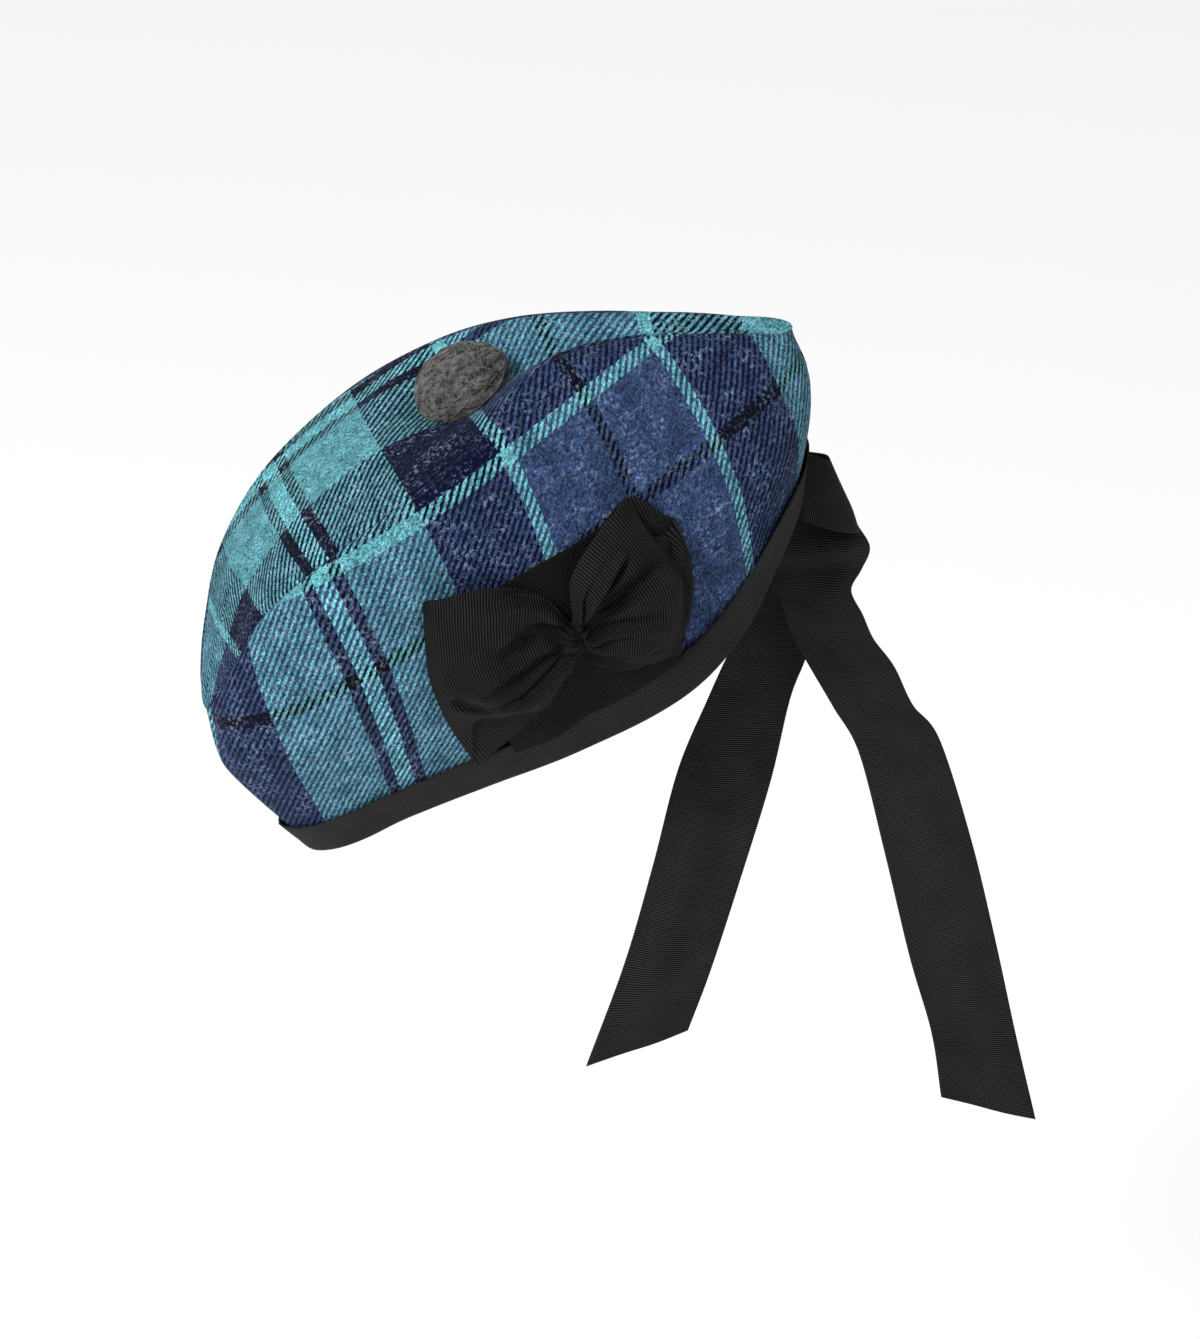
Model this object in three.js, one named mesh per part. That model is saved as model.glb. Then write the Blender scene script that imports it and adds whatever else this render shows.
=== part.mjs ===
// A glengarry: a boat-shaped woollen cap with a creased top, a bound edge, a ribbon bow on the
// left side, a felted toorie and two ribbon tails at the back. Millimetres, +Z up. The front of
// the cap points along -X, its left side along -Y. The origin is the middle of the head opening,
// and the cap leans forwards on it, nose down, with its tails hanging straight down.
import * as THREE from "three";

// Driving sizes
const OPENING_LENGTH = 232;
const OPENING_WIDTH = 114;
const CROWN_HEIGHT = 145;
const NOSE_DOWN_DEG = 28;
const WOOL_WALL = 2.4;
const PEAK_WALL = 1;
const SEAM_GAP = 0.8;
const ROUND_RIDGE = 10;
const FIT_GAP = 0.35;
const BINDING_GAP = 0.9;
const BINDING_OUTSIDE = 17;
const BINDING_INSIDE = 14;
const RIBBON_WALL = 1;
const TOORIE_DIAMETER = 40;
const TOORIE_HEIGHT = 29;
const TOORIE_FROM_MIDDLE = 27;
const TOORIE_SINK = 5;
const BOW_LENGTH = 98;
const BOW_RIBBON = 72;
const BOW_PINCH = 24;
const BOW_OPEN = 9;
const BOW_FROM_MIDDLE = 8;
const BOW_UP = 54;
const BOW_SLOPE_DEG = -10;
const BACKING_LENGTH = 78;
const BACKING_HEIGHT = 60;
const BACKING_UP = 59;
const BACKING_SLOPE_DEG = -4;
const BACKING_GAP = 0.8;
const TAIL_RIBBON = 35;
const BACK_LOOP_DEPTH = 22;
const BACK_LOOP_OPEN = 12;
const LEFT_TAIL_LENGTH = 221;
const RIGHT_TAIL_LENGTH = 265;
const LEFT_TAIL_SLANT = 19;
const RIGHT_TAIL_SLANT = -25;

const HALF_LENGTH = OPENING_LENGTH / 2;
const HALF_WIDTH = OPENING_WIDTH / 2;

// The left half of the crown, one row for each section from the front seam to the back seam.
// X is a share of HALF_LENGTH, Y of HALF_WIDTH and Z of CROWN_HEIGHT. Each section runs up from
// the rim over the bulge to the ridge, where the side panel is sewn to the top panel, and on to
// the crease along the middle of the top.
const CROWN_COLUMNS = [
  "rimX", "rimY", "rimZ", "bulgeX", "bulgeY", "bulgeZ",
  "ridgeX", "ridgeY", "ridgeZ", "creaseX", "creaseZ",
];
const CROWN_ROWS = [
  [-1.0, 0.0, 0.0, -1.11, 0.0, 0.35, -1.06, 0.0, 0.53, -1.06, 0.53],
  [-0.94, -0.18, 0.0, -1.06, -0.26, 0.38, -1.02, -0.18, 0.58, -1.01, 0.585],
  [-0.82, -0.33, 0.01, -0.94, -0.54, 0.42, -0.9, -0.4, 0.685, -0.89, 0.7],
  [-0.66, -0.49, 0.03, -0.76, -0.77, 0.46, -0.73, -0.61, 0.805, -0.72, 0.835],
  [-0.41, -0.68, 0.03, -0.49, -0.96, 0.49, -0.46, -0.81, 0.89, -0.46, 0.925],
  [-0.09, -0.88, 0.02, -0.11, -1.09, 0.51, -0.1, -0.9, 0.94, -0.1, 0.965],
  [0.21, -0.97, 0.01, 0.23, -1.12, 0.51, 0.23, -0.75, 0.96, 0.23, 0.9],
  [0.43, -0.99, 0.03, 0.5, -1.06, 0.49, 0.5, -0.4, 0.965, 0.5, 0.89],
  [0.64, -0.88, 0.08, 0.76, -0.92, 0.48, 0.75, -0.24, 0.88, 0.75, 0.81],
  [0.83, -0.68, 0.15, 0.98, -0.7, 0.46, 0.96, -0.18, 0.775, 0.95, 0.72],
  [0.95, -0.44, 0.18, 1.14, -0.41, 0.44, 1.14, -0.15, 0.67, 1.13, 0.635],
  [1.02, -0.16, 0.2, 1.22, -0.2, 0.44, 1.24, -0.13, 0.61, 1.24, 0.59],
  [1.03, 0.0, 0.21, 1.24, 0.0, 0.44, 1.28, 0.0, 0.59, 1.28, 0.59],
];
const LAST_ROW = CROWN_ROWS.length - 1;

// Centre lines of the tails, from the back loop to the cut end: share of the length, and the
// place in x and y. They hang along -Z, each with a lean of its own.
const TAIL_COLUMNS = ["share", "x", "y"];
const LEFT_TAIL_ROWS = [
  [0, 112, 2.4],
  [0.04, 111, 2.5],
  [0.13, 97, 5],
  [0.2, 85, 5],
  [0.4, 68, 2],
  [0.7, 47, -4],
  [1, 27, -8],
];
const RIGHT_TAIL_ROWS = [
  [0, 112, -2.8],
  [0.04, 111, -3.3],
  [0.1, 99, -6],
  [0.22, 113, -9],
  [0.3, 123, -9],
  [0.37, 132, -8],
  [0.54, 145, -8],
  [0.71, 155, -9],
  [1, 171, -11],
];
const TAIL_TOP = 66;

const smooth = (value) => {
  const share = Math.min(1, Math.max(0, value));
  return share * share * (3 - 2 * share);
};

// Catmull-Rom interpolation between b and c.
function spline(a, b, c, d, t) {
  return b + 0.5 * t * (c - a + t * (2 * a - 5 * b + 4 * c - d + t * (3 * (b - c) + d - a)));
}

// Hermite interpolation between two points with their two directions.
function hermite(from, to, leave, arrive, t) {
  const t2 = t * t;
  const t3 = t2 * t;
  return new THREE.Vector3()
    .addScaledVector(from, 2 * t3 - 3 * t2 + 1)
    .addScaledVector(leave, t3 - 2 * t2 + t)
    .addScaledVector(to, 3 * t2 - 2 * t3)
    .addScaledVector(arrive, t3 - t2);
}

// One column of the crown's table at u, from 0 at the front seam to LAST_ROW at the back seam.
// Past a seam the rows repeat on the other side of the cap, so y changes its sign.
function crownColumn(name, u) {
  const column = CROWN_COLUMNS.indexOf(name);
  const value = (row) => {
    const inside = row < 0 ? -row : row > LAST_ROW ? 2 * LAST_ROW - row : row;
    const sign = name.endsWith("Y") && inside !== row ? -1 : 1;
    return CROWN_ROWS[inside][column] * sign;
  };
  const row = Math.min(Math.floor(u), LAST_ROW - 1);
  return spline(value(row - 1), value(row), value(row + 1), value(row + 2), u - row);
}

// The crown's outside at u and s. s is 0 at the rim, 1 at the ridge and 2 at the crease.
// A negative u, or one past LAST_ROW, is on the right side.
function crownPoint(u, s) {
  if (u < 0) return crownPoint(-u, s).multiply(new THREE.Vector3(1, -1, 1));
  if (u > LAST_ROW) {
    return crownPoint(2 * LAST_ROW - u, s).multiply(new THREE.Vector3(1, -1, 1));
  }
  const guide = (name) =>
    new THREE.Vector3(
      crownColumn(name + "X", u) * HALF_LENGTH,
      name === "crease" ? 0 : crownColumn(name + "Y", u) * HALF_WIDTH,
      crownColumn(name + "Z", u) * CROWN_HEIGHT,
    );
  const [rim, bulge, ridge, crease] = ["rim", "bulge", "ridge", "crease"].map(guide);
  const up = ridge.clone().sub(rim).normalize();
  const breadth = Math.min(1, -ridge.y / ROUND_RIDGE);
  const over = new THREE.Vector3(0, breadth, 0);
  over.addScaledVector(up, 1 - 0.75 * breadth).normalize();
  const low = bulge.distanceTo(rim);
  const high = ridge.distanceTo(bulge);
  const top = crease.distanceTo(ridge);
  if (s <= 0.5) {
    const leave = bulge.clone().sub(rim);
    return hermite(rim, bulge, leave, up.clone().multiplyScalar(low), s * 2);
  }
  if (s <= 1) {
    const leave = up.clone().multiplyScalar(high);
    return hermite(bulge, ridge, leave, over.multiplyScalar(high * 0.7), s * 2 - 1);
  }
  const arrive = new THREE.Vector3(0, top * 0.3 * breadth, 0);
  return hermite(ridge, crease, over.multiplyScalar(top * 0.7), arrive, s - 1);
}

// The outward direction of the crown at u and s.
function crownNormal(u, s) {
  const step = 0.03;
  const low = Math.max(0, s - step);
  const high = Math.min(2, s + step);
  const along = crownPoint(u + step, s).sub(crownPoint(u - step, s));
  const up = crownPoint(u, high).sub(crownPoint(u, low));
  const normal = along.cross(up).normalize();
  if (s > 1.999) normal.setY(0).normalize();
  return normal;
}

// A point off the crown: u and s on its outside, then a distance outwards.
function offCrown(u, s, out) {
  return crownPoint(u, s).addScaledVector(crownNormal(u, s), out);
}

// The cloth's thickness at u and s: it is pared at the back peak, where three panels meet.
function woolWall(u, s) {
  const nearPeak = smooth((u - LAST_ROW + 3) / 2.5) * smooth(2 * s - 1);
  return WOOL_WALL - (WOOL_WALL - PEAK_WALL) * nearPeak;
}

// How far s moves for a millimetre of cloth at u and s.
function shareOfMillimetre(u, s) {
  const step = 0.01;
  return (2 * step) / crownPoint(u, s + step).distanceTo(crownPoint(u, s - step));
}

// A closed sheet: a grid of rows and columns with an outer face, an inner face and its edges.
// point(row, column, face) gives the places, with face 1 outside and 0 inside. A ring joins its
// last row to its first.
function sheet(rows, columns, point, ring = false) {
  const positions = [];
  const lastRow = ring ? rows - 1 : rows;
  for (const face of [1, 0]) {
    for (let row = 0; row <= lastRow; row += 1) {
      for (let column = 0; column <= columns; column += 1) {
        positions.push(...point(row / rows, column / columns, face).toArray());
      }
    }
  }
  const width = columns + 1;
  const inner = (lastRow + 1) * width;
  const at = (row, column, face) => (row % (lastRow + 1)) * width + column + (face ? 0 : inner);
  const faces = [];
  const quad = (a, b, c, d) => faces.push(a, b, c, a, c, d);
  for (let row = 0; row < rows; row += 1) {
    for (let column = 0; column < columns; column += 1) {
      quad(at(row, column, 1), at(row + 1, column, 1), at(row + 1, column + 1, 1), at(row, column + 1, 1));
      quad(at(row, column + 1, 0), at(row + 1, column + 1, 0), at(row + 1, column, 0), at(row, column, 0));
    }
    quad(at(row, 0, 0), at(row + 1, 0, 0), at(row + 1, 0, 1), at(row, 0, 1));
    quad(at(row, columns, 1), at(row + 1, columns, 1), at(row + 1, columns, 0), at(row, columns, 0));
  }
  if (!ring) {
    for (let column = 0; column < columns; column += 1) {
      quad(at(0, column, 1), at(0, column + 1, 1), at(0, column + 1, 0), at(0, column, 0));
      quad(at(rows, column, 0), at(rows, column + 1, 0), at(rows, column + 1, 1), at(rows, column, 1));
    }
  }
  return solid(positions, faces);
}

// A mesh with its faces turned outwards.
function solid(positions, faces) {
  const corner = (index) => new THREE.Vector3().fromArray(positions, 3 * index);
  let volume = 0;
  for (let i = 0; i < faces.length; i += 3) {
    volume += corner(faces[i]).dot(corner(faces[i + 1]).cross(corner(faces[i + 2])));
  }
  const outward = volume > 0 ? faces : faces.slice().reverse();
  const geometry = new THREE.BufferGeometry();
  geometry.setAttribute("position", new THREE.Float32BufferAttribute(positions, 3));
  geometry.setIndex(outward);
  geometry.computeVertexNormals();
  return geometry;
}

// One side of the crown, a single cloth panel from the rim to the ridge. side is -1 for the
// left and 1 for the right.
function sidePanel(side) {
  return sheet(36, 10, (along, up, face) => {
    const u = along * LAST_ROW;
    const top = 1 - 0.5 * SEAM_GAP * shareOfMillimetre(u, 0.98);
    const place = offCrown(u, up * top, face ? 0 : -woolWall(u, up));
    place.y = Math.min(place.y, 0) - 0.5 * SEAM_GAP;
    place.y *= -side;
    return place;
  });
}

// The leaf-shaped panel between the ridges, folded down along the middle.
function topPanel() {
  const first = 0.6;
  const last = LAST_ROW - 1;
  return sheet(34, 12, (along, across, face) => {
    const u = first + along * (last - first);
    const edge = 1 + 0.5 * SEAM_GAP * shareOfMillimetre(u, 1.02);
    const half = Math.abs(2 * across - 1);
    const place = offCrown(u, 2 - half * (2 - edge), face ? 0 : -woolWall(u, 1));
    if (across > 0.5) place.y *= -1;
    return place;
  });
}

// The ribbon folded over the rim, outside and inside, all the way round.
function edgeBinding() {
  const inside = -WOOL_WALL - BINDING_GAP;
  const steps = 2;
  const profile = [];
  for (let i = 0; i <= steps; i += 1) {
    profile.push([(BINDING_OUTSIDE * i) / steps, BINDING_GAP + RIBBON_WALL, BINDING_GAP]);
  }
  profile.reverse();
  profile.push([0, "under"]);
  for (let i = 0; i <= steps; i += 1) {
    profile.push([(BINDING_INSIDE * i) / steps, inside - RIBBON_WALL, inside]);
  }
  const columns = profile.length - 1;
  return sheet(72, columns, (along, across, face) => {
    const u = along * 2 * LAST_ROW;
    const [height, outer, inner] = profile[Math.round(across * columns)];
    const down = crownPoint(u, 0).sub(crownPoint(u, 0.02)).normalize();
    if (outer === "under") {
      const drop = FIT_GAP + (face ? RIBBON_WALL : 0);
      return offCrown(u, 0, -WOOL_WALL / 2).addScaledVector(down, drop);
    }
    const s = height * shareOfMillimetre(u, 0.03);
    const place = offCrown(u, s, face ? outer : inner);
    if (height === 0) place.addScaledVector(down, FIT_GAP + (face ? 0.6 * RIBBON_WALL : 0));
    return place;
  }, true);
}

// The left side's outside at a given x and z, found by halving.
function leftSide(x, z) {
  let lowS = 0;
  let highS = 1;
  let u = 0;
  for (let i = 0; i < 16; i += 1) {
    const s = (lowS + highS) / 2;
    let lowU = 0;
    let highU = LAST_ROW;
    for (let j = 0; j < 16; j += 1) {
      u = (lowU + highU) / 2;
      if (crownPoint(u, s).x < x) lowU = u;
      else highU = u;
    }
    if (crownPoint(u, s).z < z) lowS = s;
    else highS = s;
  }
  return [u, (lowS + highS) / 2];
}

// A place on the bow: along its length, across its ribbon and out from the cap's left side.
function onLeftSide(along, across, out, up, slopeDeg) {
  const slope = THREE.MathUtils.degToRad(slopeDeg);
  const x = BOW_FROM_MIDDLE + along * Math.cos(slope) - across * Math.sin(slope);
  const z = up + along * Math.sin(slope) + across * Math.cos(slope);
  const [u, s] = leftSide(x, z);
  return offCrown(u, s, out);
}

// The flat ribbon ground that the bow is sewn to.
function bowBacking() {
  return sheet(12, 8, (along, across, face) => {
    const place = (along - 0.5) * BACKING_LENGTH;
    const height = (across - 0.5) * BACKING_HEIGHT;
    const out = BACKING_GAP + (face ? RIBBON_WALL : 0);
    return onLeftSide(place, height, out, BACKING_UP, BACKING_SLOPE_DEG);
  });
}

// The bow: one closed loop of wide ribbon laid flat and gathered at the middle.
function ribbonBow() {
  const back = 2 * BACKING_GAP + 1.5 * RIBBON_WALL;
  const centre = (turn) => {
    const reach = Math.cos(turn);
    const lift = (2.6 + (BOW_OPEN - 2.6) * smooth(Math.abs(reach) * 1.4)) / 2;
    const round = Math.sign(Math.sin(turn)) * Math.sqrt(Math.abs(Math.sin(turn)));
    return [(BOW_LENGTH / 2) * reach, back + lift + lift * round, reach];
  };
  return sheet(40, 10, (share, across, face) => {
    const turn = (share + 0.5 / 40) * 2 * Math.PI;
    const [along, out, reach] = centre(turn);
    const [alongNext, outNext] = centre(turn + 0.02);
    const [alongBefore, outBefore] = centre(turn - 0.02);
    const length = Math.hypot(alongNext - alongBefore, outNext - outBefore);
    const wide = BOW_PINCH + (BOW_RIBBON - BOW_PINCH) * smooth(Math.abs(reach) * 1.25);
    const pleat = Math.sin(turn) > 0 ? 0.8 * (1 - Math.abs(reach)) ** 2 : 0;
    const thick = (face ? 0.5 : -0.5) * RIBBON_WALL;
    const lift = pleat * (0.8 + Math.cos(across * 6 * Math.PI));
    return onLeftSide(
      along + (thick * (outNext - outBefore)) / length,
      (across - 0.5) * wide,
      out + lift - (thick * (alongNext - alongBefore)) / length,
      BOW_UP,
      BOW_SLOPE_DEG,
    );
  }, true);
}

// The height of the top panel at a given x and y.
function topHeight(x, y) {
  let lowU = 0;
  let highU = LAST_ROW;
  let s = 1.5;
  for (let i = 0; i < 16; i += 1) {
    const u = (lowU + highU) / 2;
    let lowS = 1;
    let highS = 2;
    for (let j = 0; j < 16; j += 1) {
      s = (lowS + highS) / 2;
      if (crownPoint(u, s).y < -Math.abs(y)) lowS = s;
      else highS = s;
    }
    if (crownPoint(u, s).x < x) lowU = u;
    else highU = u;
  }
  return crownPoint((lowU + highU) / 2, s).z;
}

// The toorie: a felted ball of wool with a flattened underside, sewn down in the crease.
function toorie() {
  const around = 30;
  const layers = 16;
  const centre = topHeight(TOORIE_FROM_MIDDLE, 0) + TOORIE_HEIGHT / 2 - TOORIE_SINK;
  const positions = [];
  const faces = [];
  for (let layer = 0; layer <= layers; layer += 1) {
    const rise = (layer / layers - 0.5) * Math.PI;
    const count = layer === 0 || layer === layers ? 1 : around;
    for (let i = 0; i < count; i += 1) {
      const turn = (i / around) * 2 * Math.PI;
      const reach = (TOORIE_DIAMETER / 2) * Math.cos(rise);
      const x = TOORIE_FROM_MIDDLE + reach * Math.cos(turn);
      const y = reach * Math.sin(turn);
      const ball = centre + (TOORIE_HEIGHT / 2) * Math.sin(rise);
      const floor = topHeight(x, y) + 3 * FIT_GAP;
      positions.push(x, y, Math.max(ball, floor + 0.15 * layer));
    }
  }
  const at = (layer, i) => {
    if (layer === 0) return 0;
    if (layer === layers) return 1 + (layers - 1) * around;
    return 1 + (layer - 1) * around + (i % around);
  };
  for (let layer = 0; layer < layers; layer += 1) {
    for (let i = 0; i < around; i += 1) {
      if (layer > 0) faces.push(at(layer, i), at(layer, i + 1), at(layer + 1, i));
      if (layer < layers - 1) {
        faces.push(at(layer, i + 1), at(layer + 1, i + 1), at(layer + 1, i));
      }
    }
  }
  return solid(positions, faces);
}

// The short closed loop of ribbon behind the back seam, under which the tails hang.
function backLoop() {
  const lean = THREE.MathUtils.degToRad(16);
  const width = new THREE.Vector3(Math.sin(lean), 0, Math.cos(lean));
  const outwards = new THREE.Vector3(Math.cos(lean), 0, -Math.sin(lean));
  const middle = new THREE.Vector3(1.148 * HALF_LENGTH, 0, 0.12 * CROWN_HEIGHT);
  return sheet(28, 3, (share, across, face) => {
    const turn = share * 2 * Math.PI;
    const half = face ? 0.5 * RIBBON_WALL : -0.5 * RIBBON_WALL;
    const place = middle.clone();
    place.addScaledVector(outwards, (BACK_LOOP_DEPTH / 2 + half) * Math.cos(turn));
    place.addScaledVector(width, (across - 0.5) * TAIL_RIBBON * 0.9);
    place.y += (BACK_LOOP_OPEN / 2 + half) * Math.sin(turn);
    return place;
  }, true);
}

// One tail of ribbon, from its top under the back loop to its cut end.
function ribbonTail(rows, length, slant) {
  const column = (name, row) => {
    const inside = Math.min(Math.max(row, 0), rows.length - 1);
    return rows[inside][TAIL_COLUMNS.indexOf(name)];
  };
  const centre = (share) => {
    let row = 0;
    while (row < rows.length - 2 && column("share", row + 1) < share) row += 1;
    const from = column("share", row);
    const t = (share - from) / (column("share", row + 1) - from);
    const value = (name) => {
      const places = [-1, 0, 1, 2].map((step) => column(name, row + step));
      return spline(...places, t);
    };
    return new THREE.Vector3(value("x"), value("y"), TAIL_TOP - share * length);
  };
  return sheet(24, 4, (share, across, face) => {
    const along = centre(share + 0.01).sub(centre(share - 0.01)).normalize();
    const width = along.clone().cross(new THREE.Vector3(-0.17, -0.98, 0)).normalize();
    const out = width.clone().cross(along).normalize();
    const gather = 0.28 + 0.57 * smooth(share * 12 - 0.5) + 0.15 * smooth(share * 5);
    const place = centre(share);
    place.addScaledVector(width, (across - 0.5) * TAIL_RIBBON * gather);
    place.addScaledVector(out, (face ? 0.5 : -0.5) * RIBBON_WALL);
    place.addScaledVector(along, smooth(share * 4 - 3) * slant * (across - 0.5));
    return place;
  });
}

const tartan = new THREE.MeshStandardMaterial({ name: "tartan wool", color: 0x2a5a78 });
const grosgrain = new THREE.MeshStandardMaterial({ name: "black grosgrain", color: 0x1c1c20 });
const felt = new THREE.MeshStandardMaterial({ name: "grey toorie wool", color: 0x504e4a });
const glengarry = new THREE.Group();
glengarry.name = "glengarry";
const leaning = new THREE.Matrix4().makeRotationY(-THREE.MathUtils.degToRad(NOSE_DOWN_DEG));

function add(name, geometry, material) {
  const mesh = new THREE.Mesh(geometry, material.clone());
  mesh.name = name;
  glengarry.add(mesh);
}

add("side_left", sidePanel(-1).applyMatrix4(leaning), tartan);
add("side_right", sidePanel(1).applyMatrix4(leaning), tartan);
add("top_panel", topPanel().applyMatrix4(leaning), tartan);
add("edge_binding", edgeBinding().applyMatrix4(leaning), grosgrain);
add("bow_backing", bowBacking().applyMatrix4(leaning), grosgrain);
add("bow", ribbonBow().applyMatrix4(leaning), grosgrain);
add("toorie", toorie().applyMatrix4(leaning), felt);
add("back_loop", backLoop().applyMatrix4(leaning), grosgrain);
add("tail_left", ribbonTail(LEFT_TAIL_ROWS, LEFT_TAIL_LENGTH, LEFT_TAIL_SLANT), grosgrain);
add("tail_right", ribbonTail(RIGHT_TAIL_ROWS, RIGHT_TAIL_LENGTH, RIGHT_TAIL_SLANT), grosgrain);

export default glengarry;
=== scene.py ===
import math

import bpy
import numpy as np
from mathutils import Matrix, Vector


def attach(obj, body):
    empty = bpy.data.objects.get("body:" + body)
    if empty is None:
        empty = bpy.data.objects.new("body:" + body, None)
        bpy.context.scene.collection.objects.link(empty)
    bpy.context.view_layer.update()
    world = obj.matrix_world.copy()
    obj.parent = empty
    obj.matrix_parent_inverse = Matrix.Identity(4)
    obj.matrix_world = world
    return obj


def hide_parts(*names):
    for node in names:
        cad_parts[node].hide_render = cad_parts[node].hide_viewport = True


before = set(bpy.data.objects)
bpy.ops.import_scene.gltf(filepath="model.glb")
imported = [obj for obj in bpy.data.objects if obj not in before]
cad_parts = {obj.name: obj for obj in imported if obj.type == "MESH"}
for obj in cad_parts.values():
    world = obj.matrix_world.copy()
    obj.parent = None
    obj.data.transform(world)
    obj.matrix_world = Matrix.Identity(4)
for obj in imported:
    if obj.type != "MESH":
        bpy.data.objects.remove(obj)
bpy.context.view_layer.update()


# The crown: two sides and a creased top, cut as three panels of wool cloth and sewn together.
# Each row of its form is one section, from the front seam to the back seam. x, y and z are shares
# of half the opening's length, half its width and the crown's height.
HALF_LENGTH, HALF_WIDTH, CROWN_HEIGHT = 0.116, 0.057, 0.145
NOSE_DOWN = math.radians(28)
# Rim x, y, z; bulge x, y, z; ridge x, y, z; crease x, z.
CROWN_ROWS = np.array([
    [-1.0, 0.0, 0.0, -1.11, 0.0, 0.35, -1.06, 0.0, 0.53, -1.06, 0.53],
    [-0.94, -0.18, 0.0, -1.06, -0.26, 0.38, -1.02, -0.18, 0.58, -1.01, 0.585],
    [-0.82, -0.33, 0.01, -0.94, -0.54, 0.42, -0.9, -0.4, 0.685, -0.89, 0.7],
    [-0.66, -0.49, 0.03, -0.76, -0.77, 0.46, -0.73, -0.61, 0.805, -0.72, 0.835],
    [-0.41, -0.68, 0.03, -0.49, -0.96, 0.49, -0.46, -0.81, 0.89, -0.46, 0.925],
    [-0.09, -0.88, 0.02, -0.11, -1.09, 0.51, -0.1, -0.9, 0.94, -0.1, 0.965],
    [0.21, -0.97, 0.01, 0.23, -1.12, 0.51, 0.23, -0.75, 0.96, 0.23, 0.9],
    [0.43, -0.99, 0.03, 0.5, -1.06, 0.49, 0.5, -0.4, 0.965, 0.5, 0.89],
    [0.64, -0.88, 0.08, 0.76, -0.92, 0.48, 0.75, -0.24, 0.88, 0.75, 0.81],
    [0.83, -0.68, 0.15, 0.98, -0.7, 0.46, 0.96, -0.18, 0.775, 0.95, 0.72],
    [0.95, -0.44, 0.18, 1.14, -0.41, 0.44, 1.14, -0.15, 0.67, 1.13, 0.635],
    [1.02, -0.16, 0.2, 1.22, -0.2, 0.44, 1.24, -0.13, 0.61, 1.24, 0.59],
    [1.03, 0.0, 0.21, 1.24, 0.0, 0.44, 1.28, 0.0, 0.59, 1.28, 0.59],
])
LAST_ROW = len(CROWN_ROWS) - 1
MIRROR = np.array([1, -1, 1, 1, -1, 1, 1, -1, 1, 1, 1.0])


def crown(u, s):
    """Points on the crown's outside, in its own untilted frame. u runs from the front seam, 0, to
    the back seam, and past it on the right side. s is 0 at the rim, 1 at the ridge, 2 at the crease."""
    u, s = np.broadcast_arrays(np.asarray(u, float), np.asarray(s, float))
    u = (u + LAST_ROW) % (2 * LAST_ROW) - LAST_ROW
    right = u < 0
    u = np.abs(u)
    table = np.vstack([CROWN_ROWS[1] * MIRROR, CROWN_ROWS, CROWN_ROWS[-2] * MIRROR])
    row = np.minimum(u.astype(int), LAST_ROW - 1)
    t = (u - row)[..., None]
    a, b, c, d = (table[row + k] for k in range(4))
    guide = b + 0.5 * t * (c - a + t * (2 * a - 5 * b + 4 * c - d + t * (3 * (b - c) + d - a)))
    size = np.array([HALF_LENGTH, HALF_WIDTH, CROWN_HEIGHT])
    rim, bulge, ridge = (guide[..., k : k + 3] * size for k in (0, 3, 6))
    crease = np.stack([guide[..., 9] * size[0], 0 * u, guide[..., 10] * size[2]], -1)

    def length(v):
        return np.linalg.norm(v, axis=-1, keepdims=True)

    up = (ridge - rim) / length(ridge - rim)
    breadth = np.minimum(1, -ridge[..., 1:2] / 0.01)
    over = np.concatenate([0 * breadth, breadth, 0 * breadth], -1) + up * (1 - 0.75 * breadth)
    over = over / length(over)
    low, high, top = length(bulge - rim), length(ridge - bulge), length(crease - ridge)

    def hermite(start, end, leave, arrive, t):
        t = t[..., None]
        return (
            (2 * t**3 - 3 * t**2 + 1) * start + (t**3 - 2 * t**2 + t) * leave
            + (3 * t**2 - 2 * t**3) * end + (t**3 - t**2) * arrive
        )

    across = np.concatenate([0 * breadth, 0.3 * breadth * top, 0 * breadth], -1)
    side_low = hermite(rim, bulge, bulge - rim, up * low, s * 2)
    side_high = hermite(bulge, ridge, up * high, over * high * 0.7, s * 2 - 1)
    over_top = hermite(ridge, crease, over * top * 0.7, across, s - 1)
    above_bulge = np.where(s[..., None] <= 1, side_high, over_top)
    place = np.where(s[..., None] <= 0.5, side_low, above_bulge)
    return place * np.where(right, -1, 1)[..., None] ** np.array([0, 1, 0])


def crown_normal(u, s):
    """The outward direction of the crown."""
    step = 0.03
    along = crown(u + step, s) - crown(u - step, s)
    up = crown(u, np.minimum(2, s + step)) - crown(u, np.maximum(0, s - step))
    normal = np.cross(along, up)
    normal[..., 1] = np.where(np.broadcast_to(s, normal.shape[:-1]) > 1.999, 0, normal[..., 1])
    return normal / np.linalg.norm(normal, axis=-1, keepdims=True)


def lean(points):
    """Turns points of the crown's own frame nose down into the part's frame."""
    x, y, z = points[..., 0], points[..., 1], points[..., 2]
    cos, sin = math.cos(NOSE_DOWN), math.sin(NOSE_DOWN)
    return np.stack([x * cos - z * sin, y, x * sin + z * cos], -1)


# The cloth: wool tartan, one sett for warp and weft, mirrored about its two pivots and woven in
# twill. Where both yarns have one colour it is solid, elsewhere the twill shows both as steep
# lines. It is brushed to a soft nap, so it is matt, with pale hairs and dark partings.
SETT_MM = 121.5
# Where each stripe starts, in millimetres from the first pivot.
SETT = [
    (0.0, "5fa6ae"), (3.7, "050812"), (8.7, "4e8891"), (43.3, "030927"), (79.3, "579ba3"),
    (84.9, "2c3d60"), (119.1, "02030a"),
]
WEFT_STRETCH = 1.15
TWILL_MM = 2.6
# The nap: worn patches, tufts, and partings between the hairs. The curls of hair are drawn several
# times as thick as a wool fibre, because real ones are too fine to show.
WORN_PATCHES_PER_M = 90.0
TUFT_MM = 1.0
PARTING_MM = 2.5
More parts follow.
